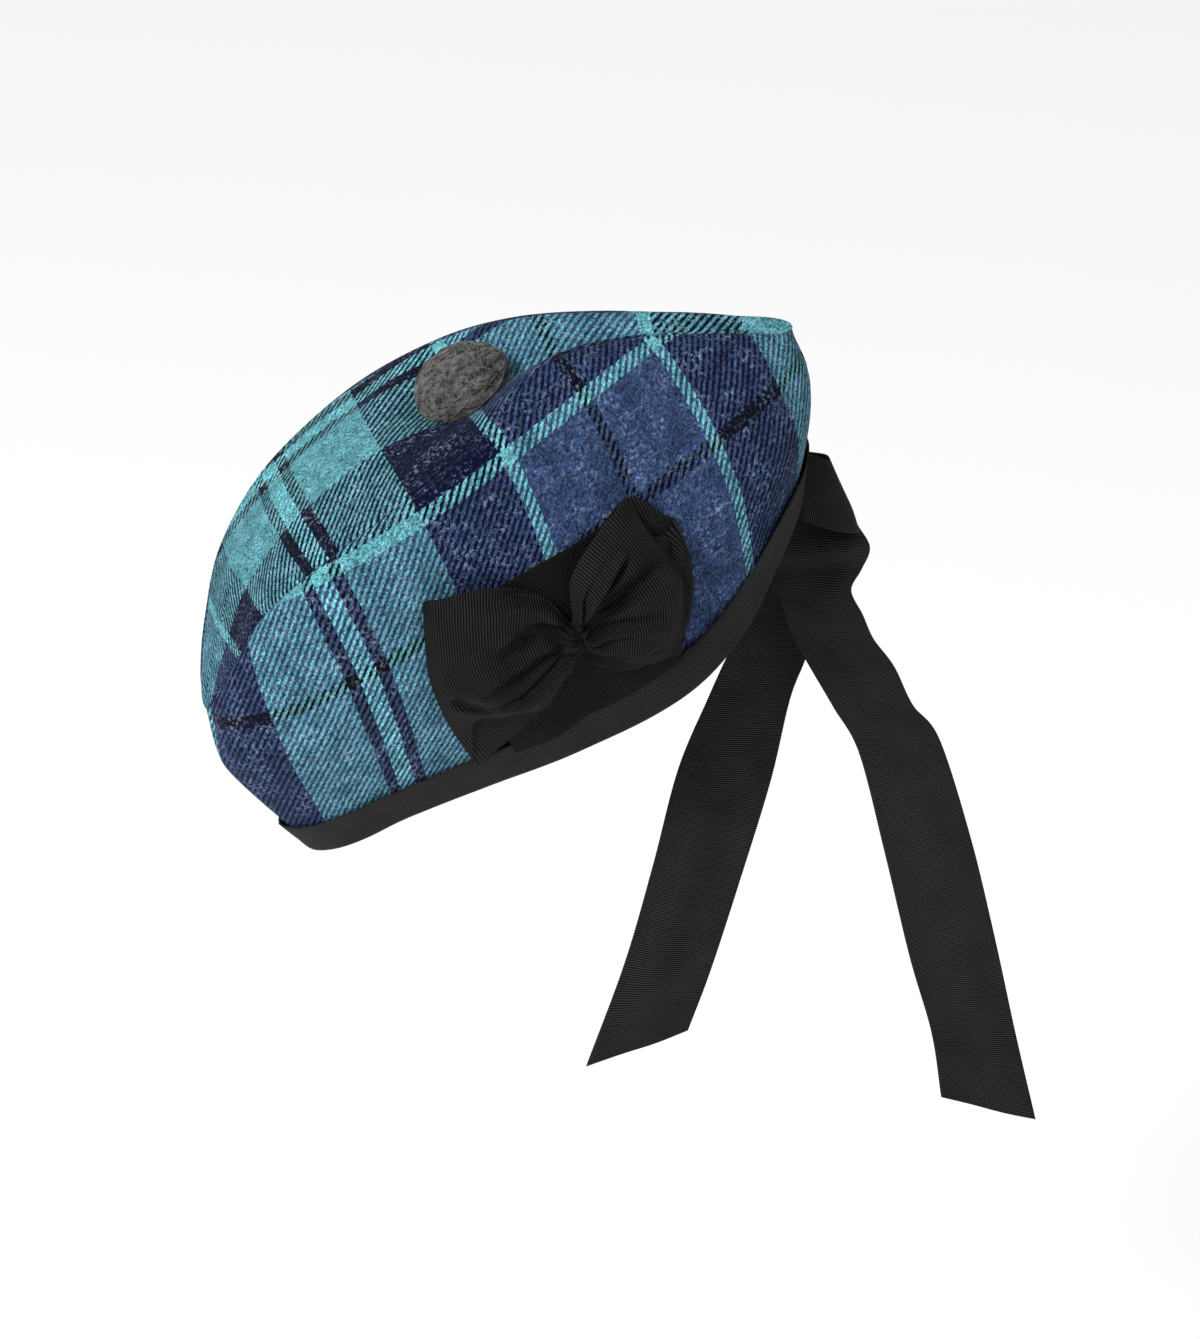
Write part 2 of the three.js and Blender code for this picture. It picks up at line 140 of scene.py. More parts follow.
# Seed and curls for each metre of cloth, from 1.9 to 2.6 mm each, in three layers of hairs.
HAIR_LAYERS = ((3.0, 380.0), (11.0, 540.0), (23.0, 450.0))
# The panels are cut so that the steel stripe under the black line reaches down to the rim.
LOWEST_WEFT_M = 0.106
HAIR = "a9b9cf"


def colour(text):
    """An sRGB hex colour as linear red, green, blue and alpha."""
    parts = [int(text[i : i + 2], 16) / 255 for i in (0, 2, 4)]
    return [p / 12.92 if p <= 0.04045 else ((p + 0.055) / 1.055) ** 2.4 for p in parts] + [1.0]


def node(tree, kind, settings=(), *inputs, **links):
    """Adds a node and sets its attributes and inputs. Each of inputs, in order, and of links, by
    name, is a number or is another node or its socket, which is joined."""
    new = tree.nodes.new(kind)
    for name, value in dict(settings).items():
        if hasattr(new, name):
            setattr(new, name, value)
        else:
            new.inputs[int(name[2:]) if name.startswith("in") else name].default_value = value
    for name, source in [*enumerate(inputs), *links.items()]:
        if isinstance(name, str):
            name = int(name[2:]) if name.startswith("in") else name.replace("_", " ")
        if isinstance(source, (int, float)):
            new.inputs[name].default_value = source
        else:
            output = source if isinstance(source, bpy.types.NodeSocket) else source.outputs[0]
            tree.links.new(output, new.inputs[name])
    return new


def new_material(name):
    """An empty material with its node tree, its surface and its output joined."""
    made = bpy.data.materials.new(name)
    made.use_nodes = True
    tree = made.node_tree
    surface = next(n for n in tree.nodes if n.type == "BSDF_PRINCIPLED")
    return made, tree, surface


def tartan_material():
    """The tartan, on UVs in metres of the flat cloth."""
    made, tree, surface = new_material("brushed wool tartan")
    cloth = node(tree, "ShaderNodeUVMap", {"uv_map": "cloth"})
    # The threads waver a little, so no stripe has a ruled edge.
    waver = node(tree, "ShaderNodeTexNoise", {"Scale": 700.0, "Detail": 2.0}, Vector=cloth)
    centred = {"operation": "SUBTRACT", "in1": (0.5, 0.5, 0.5)}
    offset = node(tree, "ShaderNodeVectorMath", centred, in0=waver.outputs["Color"])
    offset = node(tree, "ShaderNodeVectorMath", {"operation": "SCALE", "Scale": 0.0011}, in0=offset)
    place = node(tree, "ShaderNodeVectorMath", {"operation": "ADD"}, in0=cloth, in1=offset)
    axes = node(tree, "ShaderNodeSeparateXYZ", Vector=place)

    def stripes(metres, stretch):
        run = node(tree, "ShaderNodeMath", {"operation": "PINGPONG"}, metres, SETT_MM * stretch / 1000)
        share = node(tree, "ShaderNodeMath", {"operation": "DIVIDE"}, run, SETT_MM * stretch / 1000)
        ramp = node(tree, "ShaderNodeValToRGB", Fac=share)
        ramp.color_ramp.interpolation = "CONSTANT"
        for i, (start, shade) in enumerate(SETT):
            stops = ramp.color_ramp.elements
            stop = stops[0] if i == 0 else stops.new(start / SETT_MM)
            stop.position = start / SETT_MM
            stop.color = colour(shade)
        stops.remove(stops[-1])
        return ramp

    warp = stripes(axes.outputs["X"], 1.0)
    height = node(tree, "ShaderNodeMath", {"operation": "MAXIMUM"}, axes.outputs["Y"], LOWEST_WEFT_M)
    weft = stripes(height, WEFT_STRETCH)
    slope = node(tree, "ShaderNodeMath", {"operation": "SUBTRACT"}, axes.outputs["X"], axes.outputs["Y"])
    # The twill's lines lie at 45 degrees to both axes.
    half_line = TWILL_MM / 2000 * 1.414
    twill = node(tree, "ShaderNodeMath", {"operation": "PINGPONG"}, slope, half_line)
    twill = node(tree, "ShaderNodeMath", {"operation": "DIVIDE"}, twill, half_line)
    # The numbers given to a map range node are the value's low and high, then what they become.
    edge = node(tree, "ShaderNodeMapRange", {}, twill, 0.42, 0.58)
    woven = node(tree, "ShaderNodeMix", {"data_type": "RGBA"}, in0=edge, in6=warp, in7=weft)
    # Worn nap: uneven shade, and pale hairs that lie across the cloth in all directions.
    blotch = node(tree, "ShaderNodeTexNoise", {"Scale": WORN_PATCHES_PER_M, "Detail": 4.0}, Vector=cloth)
    shade = node(tree, "ShaderNodeMapRange", {}, blotch.outputs["Fac"], 0.3, 0.7, 0.72, 1.25)
    grain = node(tree, "ShaderNodeTexNoise", {"Scale": 1000 / TUFT_MM, "Detail": 3.0}, Vector=cloth)
    grit = node(tree, "ShaderNodeMapRange", {}, grain.outputs["Fac"], 0.32, 0.68, 0.35, 1.55)
    both = node(tree, "ShaderNodeMath", {"operation": "MULTIPLY"}, shade, grit)
    toned = node(tree, "ShaderNodeVectorMath", {"operation": "SCALE"}, in0=woven.outputs[2], in3=both)
    hairs = None
    for seed, curls_per_m in HAIR_LAYERS:
        moved = node(tree, "ShaderNodeVectorMath", {"operation": "ADD", "in1": (seed, seed, 0)}, in0=cloth)
        curls = {"Scale": curls_per_m, "Detail": 1.0, "Distortion": 1.2}
        curl = node(tree, "ShaderNodeTexNoise", curls, Vector=moved)
        off = node(tree, "ShaderNodeMath", {"operation": "SUBTRACT"}, curl.outputs["Fac"], 0.5)
        off = node(tree, "ShaderNodeMath", {"operation": "ABSOLUTE"}, off)
        one = node(tree, "ShaderNodeMapRange", {}, off, 0.008, 0.03, 1.0, 0.0)
        hairs = one if hairs is None else node(tree, "ShaderNodeMath", {"operation": "MAXIMUM"}, hairs, one)
    patchy = node(tree, "ShaderNodeMapRange", {}, blotch.outputs["Fac"], 0.42, 0.7, 0.06, 0.6)
    pieces = node(tree, "ShaderNodeTexNoise", {"Scale": 520.0, "Detail": 1.0}, Vector=cloth)
    broken = node(tree, "ShaderNodeMapRange", {}, pieces.outputs["Fac"], 0.5, 0.6)
    amount = node(tree, "ShaderNodeMath", {"operation": "MULTIPLY"}, patchy, broken)
    hairs = node(tree, "ShaderNodeMath", {"operation": "MULTIPLY"}, hairs, amount)
    # Between the hairs the nap parts in short crooked lines that look darker.
    crooks = {"Scale": 1000 / PARTING_MM, "Detail": 2.0, "Distortion": 1.0}
    parting = node(tree, "ShaderNodeTexNoise", crooks, Vector=cloth)
    off = node(tree, "ShaderNodeMath", {"operation": "SUBTRACT"}, parting.outputs["Fac"], 0.47)
    off = node(tree, "ShaderNodeMath", {"operation": "ABSOLUTE"}, off)
    parted = node(tree, "ShaderNodeMapRange", {}, off, 0.01, 0.07, 0.38, 1.2)
    toned = node(tree, "ShaderNodeVectorMath", {"operation": "SCALE"}, in0=toned, in3=parted)
    pale = {"data_type": "RGBA", "in7": colour(HAIR)}
    haired = node(tree, "ShaderNodeMix", pale, in0=hairs, in6=toned)
    tree.links.new(haired.outputs[2], surface.inputs["Base Color"])
    surface.inputs["Roughness"].default_value = 0.95
    surface.inputs["Specular IOR Level"].default_value = 0.08
    surface.inputs["Sheen Weight"].default_value = 0.04
    surface.inputs["Sheen Roughness"].default_value = 0.5
    surface.inputs["Sheen Tint"].default_value = colour("aebcd0")
    # The relief: half a step for the twill, the fuzz of the nap and the hairs on top.
    step = node(tree, "ShaderNodeMath", {"operation": "MULTIPLY"}, edge, 0.5)
    fuzz = node(tree, "ShaderNodeMath", {"operation": "MULTIPLY"}, grain.outputs["Fac"], 0.9)
    height = node(tree, "ShaderNodeMath", {"operation": "ADD"}, step, fuzz)
    raised = node(tree, "ShaderNodeMath", {"operation": "MULTIPLY"}, hairs, 0.6)
    height = node(tree, "ShaderNodeMath", {"operation": "ADD"}, height, raised)
    bump = node(tree, "ShaderNodeBump", {"Strength": 0.55, "Distance": 0.0006}, Height=height)
    tree.links.new(bump.outputs[0], surface.inputs["Normal"])
    return made


TARTAN = tartan_material()


# The two sides: one panel of the cloth each, from the rim up to the ridge. They are sewn to each
# other at the front and the back, and to the top along the ridge, where the seam draws them in.
WOOL_THICKNESS = 0.0022
SIDE_ROWS, SIDE_COLUMNS = 157, 73
SIDE_TOP_EDGE = 0.9995
SEAM_TUCK = 0.0005
# Two places on a side, as u and s, and where each lies on the cloth: both warp pivots' crossings
# with the weft's steel pivot.
SIDE_ANCHORS = (((3.825, 0.581), (0.0, 0.1397)), ((6.8, 0.5875), (0.1215, 0.1397)))


def grid_mesh(name, points, uvs, material, ring=False, flip=False):
    """A mesh from a grid of points, rows by columns, in metres, with one UV for each point."""
    rows, columns = points.shape[:2]
    if ring:
        points = np.concatenate([points, points[:1]])
        rows += 1
    index = np.arange(rows * columns).reshape(rows, columns)
    faces = np.stack([index[:-1, :-1], index[1:, :-1], index[1:, 1:], index[:-1, 1:]], -1).reshape(-1, 4)
    if flip:
        faces = faces[:, ::-1]
    mesh = bpy.data.meshes.new(name)
    mesh.from_pydata(points.reshape(-1, 3).tolist(), [], faces.tolist())
    mesh.polygons.foreach_set("use_smooth", [True] * len(mesh.polygons))
    layer = mesh.uv_layers.new(name="cloth")
    corner = np.zeros(len(mesh.loops), int)
    mesh.loops.foreach_get("vertex_index", corner)
    layer.data.foreach_set("uv", uvs.reshape(-1, 2)[corner].ravel())
    mesh.materials.append(material)
    thing = bpy.data.objects.new(name, mesh)
    bpy.context.scene.collection.objects.link(thing)
    return thing


def thicken(thing, thickness, offset=-1.0):
    """Gives a sheet its cloth thickness."""
    solid = thing.modifiers.new("thickness", "SOLIDIFY")
    solid.thickness = thickness
    solid.offset = offset
    solid.use_even_offset = False
    return thing


def flatten(thing, anchors, skew=0.0, bend=0.0, ease=0.0):
    """Lays a cloth panel's UVs out as the flat cut cloth, then turns and moves the sett so that
    each of two vertices gets its given place on the cloth, in metres. The wool gives on the bias
    where it is steamed over the form, so its warp leans by skew and curves by bend at the front, and
    ease draws the cloth in towards the front seam."""
    bpy.context.view_layer.objects.active = thing
    thing.select_set(True)
    bpy.ops.object.mode_set(mode="EDIT")
    bpy.ops.mesh.select_all(action="SELECT")
    bpy.ops.uv.unwrap(method="MINIMUM_STRETCH", fill_holes=False, margin=0.0)
    bpy.ops.object.mode_set(mode="OBJECT")
    thing.select_set(False)
    mesh = thing.data
    uv = np.zeros(len(mesh.loops) * 2)
    mesh.uv_layers["cloth"].data.foreach_get("uv", uv)
    uv = uv.reshape(-1, 2)
    corner = np.zeros(len(mesh.loops), int)
    mesh.loops.foreach_get("vertex_index", corner)
    flat = np.zeros((len(mesh.vertices), 2))
    flat[corner] = uv
    co = np.zeros(len(mesh.vertices) * 3)
    mesh.vertices.foreach_get("co", co)
    co = co.reshape(-1, 3)
    ends = np.zeros(len(mesh.edges) * 2, int)
    mesh.edges.foreach_get("vertices", ends)
    ends = ends.reshape(-1, 2)
    real = np.linalg.norm(co[ends[:, 0]] - co[ends[:, 1]], axis=1).sum()
    scale = real / np.linalg.norm(flat[ends[:, 0]] - flat[ends[:, 1]], axis=1).sum()
    spot = (flat * scale) @ np.array([1, 1j])
    (v0, p0), (v1, p1) = ((v, complex(*p)) for v, p in anchors)
    # A panel that came out face down is turned over before it is turned to the grain.
    a, b, c = (spot[mesh.polygons[0].vertices[k]] for k in range(3))
    if ((b - a).conjugate() * (c - a)).imag < 0:
        spot = spot.conjugate()
    turn = (p1 - p0) / (spot[v1] - spot[v0])
    spot = (spot - spot[v0]) * turn / abs(turn) + p0
    above = spot.imag - anchors[0][1][1]
    curve = bend * np.clip(1 - np.abs(spot.real) / 0.12, 0, 2) * above**2
    drawn = spot.real * (1 + ease * np.clip(-spot.real / 0.05, 0, 1))
    done = np.stack([drawn - skew * above + curve, spot.imag], -1)
    mesh.uv_layers["cloth"].data.foreach_set("uv", done[corner].ravel())


def ripple(a, b, seed, scale):
    """A smooth uneven height between about -1 and 1 over two coordinates, the same every time."""
    chance = np.random.default_rng(seed)
    height = 0 * a
    for _ in range(9):
        turn = chance.uniform(0, 2 * math.pi)
        wave = chance.uniform(0.5, 1.6) * 2 * math.pi / scale
        phase = chance.uniform(0, 6.3)
        height = height + np.sin((a * math.cos(turn) + b * math.sin(turn)) * wave + phase) / 3
    return height / 1.6


def side_vertex(u, s):
    """The number of a side panel's vertex nearest to u and s."""
    return round(u / LAST_ROW * (SIDE_ROWS - 1)) * SIDE_COLUMNS + round(s * (SIDE_COLUMNS - 1))


for side_name, side_sign in (("side_left", 1), ("side_right", -1)):
    u, s = np.meshgrid(
        np.linspace(0, LAST_ROW, SIDE_ROWS), np.linspace(0, SIDE_TOP_EDGE, SIDE_COLUMNS), indexing="ij"
    )
    points, normal = crown(u * side_sign, s), crown_normal(u * side_sign, s)
    tuck = -SEAM_TUCK * np.exp(-(((1 - s) / 0.022) ** 2)) - 0.0008 * np.exp(-((u / 0.16) ** 2))
    uneven = ripple(points[..., 0], points[..., 2], 4 + side_sign, 0.05)
    wave = 0.0008 * uneven * np.sin(math.pi * s) ** 0.5
    points = points + normal * (tuck + wave)[..., None]
    no_uv = np.zeros((SIDE_ROWS, SIDE_COLUMNS, 2))
    side = grid_mesh(side_name + "_cloth", lean(points), no_uv, TARTAN, flip=side_sign < 0)
    anchors = [(side_vertex(*spot), (x * side_sign, y)) for spot, (x, y) in SIDE_ANCHORS]
    flatten(side, anchors, skew=0.2 * side_sign, bend=2.2 * side_sign)
    thicken(side, WOOL_THICKNESS)
    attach(side, "root")
    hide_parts(side_name)


# The top: one leaf-shaped panel of the cloth, sewn between the two ridges and folded down along
# its middle into the crease.
TOP_ROWS, TOP_COLUMNS = 151, 91
TOP_START, TOP_END = 0.2, LAST_ROW - 0.15
TOP_EDGE = 1.0005
TOP_ANCHORS = (((3.95, 1.6625), (0.0, 0.2295)), ((7.55, 2.3), (0.1215, 0.246)))


def top_vertex(u, s):
    """The number of the top's vertex nearest to u and s, with s past 2 on its right half."""
    row = round((u - TOP_START) / (TOP_END - TOP_START) * (TOP_ROWS - 1))
    return row * TOP_COLUMNS + round((s - 1) * (TOP_COLUMNS - 1) / 2)


u, across = np.meshgrid(
    np.linspace(TOP_START, TOP_END, TOP_ROWS), np.linspace(-1, 1, TOP_COLUMNS), indexing="ij"
)
s = TOP_EDGE + (1 - np.abs(across)) * (2 - TOP_EDGE)
points = crown(np.where(across > 0, -u, u), s)
normal = crown_normal(u, s) * np.where(across[..., None] > 0, np.array([1, -1, 1]), 1)
tuck = -SEAM_TUCK * np.exp(-(((1 - np.abs(across)) / 0.035) ** 2))
wave = 0.0009 * ripple(points[..., 0], points[..., 1], 9, 0.045) * np.sin(math.pi * (s - 1)) ** 0.5
points = points + normal * (tuck + wave)[..., None]
top = grid_mesh("top_cloth", lean(points), np.zeros((TOP_ROWS, TOP_COLUMNS, 2)), TARTAN)
flatten(top, [(top_vertex(*spot), place) for spot, place in TOP_ANCHORS], ease=0.5)
# At the pointed front the cloth is thinned, so that it doesn't fold through itself.
thicken(top, WOOL_THICKNESS).modifiers["thickness"].thickness_clamp = 2.5
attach(top, "root")
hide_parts("top_panel")


# The edge binding: one black grosgrain ribbon folded over the rim, outside and inside, and sewn
# through along both of its edges. Grosgrain is woven with a thick weft, so fine ribs run across
# it, and it is nearly matt. Its ribs are about two pixels apart, just coarse enough to show.
BINDING_RIB_MM = 0.88
BINDING_THICKNESS = 0.0007
BINDING_OUTSIDE, BINDING_OUT = 17, 0.0016
BINDING_IN = -0.0039
BINDING_STEPS = 480


def grosgrain_material(name, rib_mm, rib_top):
    """Black ribbon with ribs across it, one for each rib_mm, and the colour of the ribs' tops."""
    made, tree, surface = new_material(name)
    cloth = node(tree, "ShaderNodeUVMap", {"uv_map": "cloth"})
    axes = node(tree, "ShaderNodeSeparateXYZ", Vector=cloth)
    turns = 2 * math.pi * 1000 / rib_mm
    angle = node(tree, "ShaderNodeMath", {"operation": "MULTIPLY"}, axes.outputs["X"], turns)
    rib = node(tree, "ShaderNodeMath", {"operation": "SINE"}, angle)
    rib = node(tree, "ShaderNodeMath", {"operation": "MULTIPLY"}, rib, 0.5)
    rib = node(tree, "ShaderNodeMath", {"operation": "ADD"}, rib, 0.5)
    blotch = node(tree, "ShaderNodeTexNoise", {"Scale": 60.0, "Detail": 5.0}, Vector=cloth)
    dust = node(tree, "ShaderNodeTexNoise", {"Scale": 2600.0, "Detail": 2.0}, Vector=cloth)
    wear = node(tree, "ShaderNodeMath", {"operation": "MULTIPLY"}, blotch.outputs["Fac"], 0.9)
    wear = node(tree, "ShaderNodeMath", {"operation": "ADD"}, wear, 0.45)
    specks = node(tree, "ShaderNodeMath", {"operation": "SUBTRACT"}, dust.outputs["Fac"], 0.5)
    specks = node(tree, "ShaderNodeMath", {"operation": "MULTIPLY"}, specks, 0.35)
    mixed = node(tree, "ShaderNodeMath", {"operation": "POWER"}, rib, 2.0)
    mixed = node(tree, "ShaderNodeMath", {"operation": "MULTIPLY"}, mixed, wear)
    mixed = node(tree, "ShaderNodeMath", {"operation": "ADD"}, mixed, specks)
    tones = {"data_type": "RGBA", "in6": colour("010101"), "in7": colour(rib_top)}
    shade = node(tree, "ShaderNodeMix", tones, in0=mixed)
    tree.links.new(shade.outputs[2], surface.inputs["Base Color"])
    surface.inputs["Roughness"].default_value = 0.6
    surface.inputs["Specular IOR Level"].default_value = 0.07
    bump = node(tree, "ShaderNodeBump", {"Strength": 0.7, "Distance": 0.0005}, Height=rib)
    tree.links.new(bump.outputs[0], surface.inputs["Normal"])
    return made


def arc_length(points, axis):
    """The running length of a grid of points along one axis."""
    steps = np.linalg.norm(np.diff(points, axis=axis), axis=-1)
    start = np.zeros_like(steps.take([0], axis))
    return np.concatenate([start, np.cumsum(steps, axis)], axis)


def weld(thing):
    """Joins a ring's first and last rows."""
    joined = thing.modifiers.new("join", "WELD")
    joined.merge_threshold = 0.00002
    return thing


GROSGRAIN = grosgrain_material("woven black grosgrain", BINDING_RIB_MM, "3a3a3c")
u = np.linspace(0, 2 * LAST_ROW, BINDING_STEPS + 1)[:-1]
rim_length = arc_length(crown(u, 0 * u)[:, None], 0)[:, 0]
# The ribbon's section: millimetres above the rim, and metres out of the cloth.
profile = [(height, BINDING_OUT) for height in (BINDING_OUTSIDE, 15, 12, 9, 6, 3.5, 1.6)]
profile += [(0.3, 0.0012), (-0.6, 0.0002), (-0.9, -0.0012), (-0.6, -0.0026), (0.3, -0.0036)]
profile += [(height, BINDING_IN) for height in (2, 5, 8, 11, 14)]
rows = []
low_speed = np.linalg.norm(crown(u, 0.01 + 0 * u) - crown(u, 0 * u), axis=-1) / 0.01
down = crown(u, 0 * u) - crown(u, 0.02 + 0 * u)
down = down / np.linalg.norm(down, axis=-1, keepdims=True)
for height, out in profile:
    climb = np.maximum(height, 0) / 1000 / low_speed
    wander = 0.00035 * ripple(u * 0.02, 0 * u + height / 1000, 21, 0.03) if out > 0.001 else 0
    rise = 0.0005 * ripple(u * 0.02, 0 * u, 33, 0.06) / low_speed if height == BINDING_OUTSIDE else 0
    lift = (out + wander + 0 * u)[:, None]
    place = crown(u, climb + rise) + crown_normal(u, climb + 0.001) * lift
    rows.append(place + down * max(0, -height) / 1000)
points = np.stack(rows, 1)
uvs = np.stack([np.repeat(rim_length[:, None], len(profile), 1), arc_length(points, 1)], -1)
uvs = np.concatenate([uvs, uvs[:1]])
binding = grid_mesh("edge_binding_ribbon", lean(points), uvs, GROSGRAIN, ring=True, flip=True)
weld(binding)
thicken(binding, BINDING_THICKNESS, 0.0)
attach(binding, "root")
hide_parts("edge_binding")


# The bow's ground: a flat piece of black ribbon, sewn to the left side above the binding. It
# lies in the bow's shade, and its ribs are coloured darker than the bow's as painted shade.
RIBBON_THICKNESS = 0.0006
WIDE_RIB_MM = 1.15
GROUND_X, GROUND_Z, GROUND_SLOPE = 0.014, 0.053, -0.07
GROUND_OUT = 0.0021
GROUND_FRONT, GROUND_BACK, GROUND_TOP, GROUND_FOOT = -43, 30, 36, -36


def on_left_side(x, z, out):
    """Places off the cap's left side, from x and z in the crown's own frame and a distance out."""
    u, s = 5.6 + 0 * x, 0.36 + 0 * x
    for _ in range(14):
        here, step = crown(u, s), 0.002
        by_u = (crown(u + step, s) - here) / step
        by_s = (crown(u, s + step) - here) / step
        dx, dz = x - here[..., 0], z - here[..., 2]
        area = by_u[..., 0] * by_s[..., 2] - by_u[..., 2] * by_s[..., 0]
        u = np.clip(u + np.clip((dx * by_s[..., 2] - dz * by_s[..., 0]) / area, -1, 1), 0.3, LAST_ROW - 0.3)
        s = np.clip(s + np.clip((dz * by_u[..., 0] - dx * by_u[..., 2]) / area, -0.2, 0.2), 0.001, 0.99)
    return crown(u, s) + crown_normal(u, s) * out[..., None]


# The ribs' tops get a darker colour than the bow's: painted shade from the bow above.
GROUND_RIBBON = grosgrain_material("woven black ribbon under the bow", WIDE_RIB_MM, "161617")
along, across = np.meshgrid(np.linspace(GROUND_FRONT, GROUND_BACK, 60), np.linspace(0, 1, 50), indexing="ij")
# Its foot follows the binding's top edge, which climbs to the back.
foot = GROUND_FOOT + 3.5 * np.clip((along - 5) / 25, 0, 1) - 4 * np.clip((-12 - along) / 14, 0, 1)
across = foot + (GROUND_TOP - foot) * across
out = GROUND_OUT + 0.0002 * ripple(along / 1000, across / 1000, 5, 0.03)
z = GROUND_Z + (across + GROUND_SLOPE * along) / 1000
points = lean(on_left_side(GROUND_X + along / 1000, z, out))
ground = grid_mesh("bow_backing_ribbon", points, np.stack([across, along], -1) / 1000, GROUND_RIBBON)
thicken(ground, RIBBON_THICKNESS, 0.0)
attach(ground, "root")
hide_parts("bow_backing")


# The bow: wide grosgrain folded into two flat loops and gathered hard at the middle, so that
# folds spread from the pinch. It is nearly matt, with coarser ribs than the binding's.
BOW_X, BOW_Z, BOW_SLOPE = 0.0144, 0.0554, math.radians(-10)
LOOP_ROWS, LOOP_COLUMNS = 221, 131
# Each row of a loop runs across the ribbon, top to bottom, with millimetres along, across and
# out. The last rows are the layer behind.
FRONT_LOOP = [
    [(3, 4, 3.0), (3.5, 2, 3.0), (4, 0, 3.0), (3.5, -3, 3.0), (3, -6, 3.0)],
    [(-1, 6, 5), (-1.5, 3, 7), (-2, 0, 6), (-2, -3, 7), (-1, -7, 5)],
    [(-6, 19, 4), (-9, 11, 7.5), (-10, 2, 6), (-10, -6, 7.5), (-8, -15, 4.5)],
    [(-19, 31, 4.5), (-24, 18, 9), (-26, 5, 7.5), (-24, -9, 9.5), (-19, -26, 4.5)],
    [(-35, 36, 5), (-40, 21, 9.5), (-42, 6, 9.5), (-39, -9, 9.5), (-33, -24, 5)],
    [(-46, 37.5, 5), (-50, 24, 8), (-52.5, 9, 9), (-51, -6, 8.5), (-46, -19.5, 5.5)],
    [(-49.5, 37.3, 4.2), (-53.3, 23.5, 6.3), (-56, 7, 7), (-55.3, -11, 6.5), (-49.5, -28, 4.4)],
    [(-51, 37, 3.4), (-54.5, 23, 4.6), (-58, 5, 5), (-57, -17, 4.4), (-51.5, -46, 2.8)],
    [(-46, 36, 2.3), (-50, 21, 2.3), (-52, 4, 2.3), (-51, -18, 2.3), (-44, -41.5, 2.3)],
    [(-20, 26, 2.2), (-22, 14, 2.3), (-24, 2, 2.3), (-23, -13, 2.3), (-21, -28, 2.2)],
    [(-1, 7, 2.2), (-1.5, 4, 2.2), (-2, 0, 2.2), (-2, -4, 2.2), (-1, -8, 2.2)],
]
BACK_LOOP = [
    [(-4, 6, 3.0), (-4, 3, 3.0), (-4, 0, 3.0), (-4, -4, 3.0), (-4, -9, 3.0)],
    [(0, 9, 5), (2, 5, 6), (3, 0, 6), (2, -5, 5), (0, -10, 4)],
    [(4, 23, 6), (9, 14, 7), (12, 4, 8), (11, -6, 7), (5, -16, 4.5)],
    [(15, 34, 7), (21, 22, 9), (25, 7, 10), (23, -8, 9), (13, -22.5, 4.5)],
    [(27, 39.3, 7), (32, 24, 9), (36, 9, 10), (33, -9, 9), (22, -24.5, 4.5)],
    [(35, 40, 5.5), (38, 21, 8), (42, 8, 9.5), (38.5, -8, 8.5), (28, -25.8, 4)],
    [(37, 28, 4.5), (42.5, 17, 7), (46, 8, 8), (42, -7, 7), (31.5, -26.5, 3.6)],
    [(43, 23, 5.2), (47, 17.5, 6), (48.5, 9, 6.5), (44.5, -6, 6), (34, -27.2, 3.2)],
    [(50, 25.5, 4), (50.6, 17, 4.4), (49.7, 9, 4.6), (45.5, -5.5, 4.4), (35.3, -27.5, 2.8)],
    [(48, 28.5, 2.4), (48, 18, 2.3), (46.5, 9, 2.3), (42.5, -6, 2.3), (32, -26, 2.3)],
    [(36, 41, 2.4), (38, 24, 2.3), (38, 8, 2.3), (35, -8, 2.3), (24, -24, 2.3)],
    [(15, 30, 2.2), (20, 16, 2.3), (22, 5, 2.3), (20, -6, 2.3), (12, -18, 2.2)],
    [(0, 8, 2.2), (1, 4, 2.2), (2, 0, 2.2), (2, -4, 2.2), (0, -9, 2.2)],
]
# Folds of each loop: points from the pinch outwards, height, soft and sharp side, groove.
FRONT_FOLDS = [
    ([(-2, 4), (-12, 10.5), (-21, 10.5), (-31, 5)], -4.2, 5.0, 1.5, 2.2),
    ([(-3, -1), (-13, -3.5), (-22, -5), (-42, -7)], -3.8, 4.5, 1.3, 2.4),
    ([(-3, -6), (-14, -11), (-27, -16), (-40, -17)], 2.6, 3.0, 1.5, 1.6),
    ([(-2, 9), (-10, 19), (-20, 24), (-34, 25)], 2.0, 4.0, 2.2, 1.2),
    ([(-52, -2), (-48, -8), (-43, -13), (-37, -16)], -1.6, 3.0, 1.2, 1.2),
]
BACK_FOLDS = [
    ([(1, 5), (8, 12), (16, 19), (27, 26)], 3.6, 5.0, 1.3, 3.0),
    ([(2, 3), (14, 7.5), (26, 11.5), (37, 14), (44, 11)], -4.6, 4.5, 1.4, 3.0),
    ([(2, 0), (12, 0.5), (23, -1.5), (33, -3)], -3.2, 3.5, 1.3, 2.0),
    ([(1, -4), (9, -9), (20, -14), (31, -16)], 2.4, 3.5, 1.6, 1.8),
    ([(45, 22), (45, 8), (41, -6), (34, -18)], -2.4, 2.6, 1.4, 1.4),
]


def bow_place(along, across, out):
    """Places on the bow, in millimetres from its pinch: along it, across its ribbon and outwards."""
    x = BOW_X + (along * math.cos(BOW_SLOPE) - across * math.sin(BOW_SLOPE)) / 1000
    z = BOW_Z + (along * math.sin(BOW_SLOPE) + across * math.cos(BOW_SLOPE)) / 1000
    return lean(on_left_side(x, z, out / 1000))


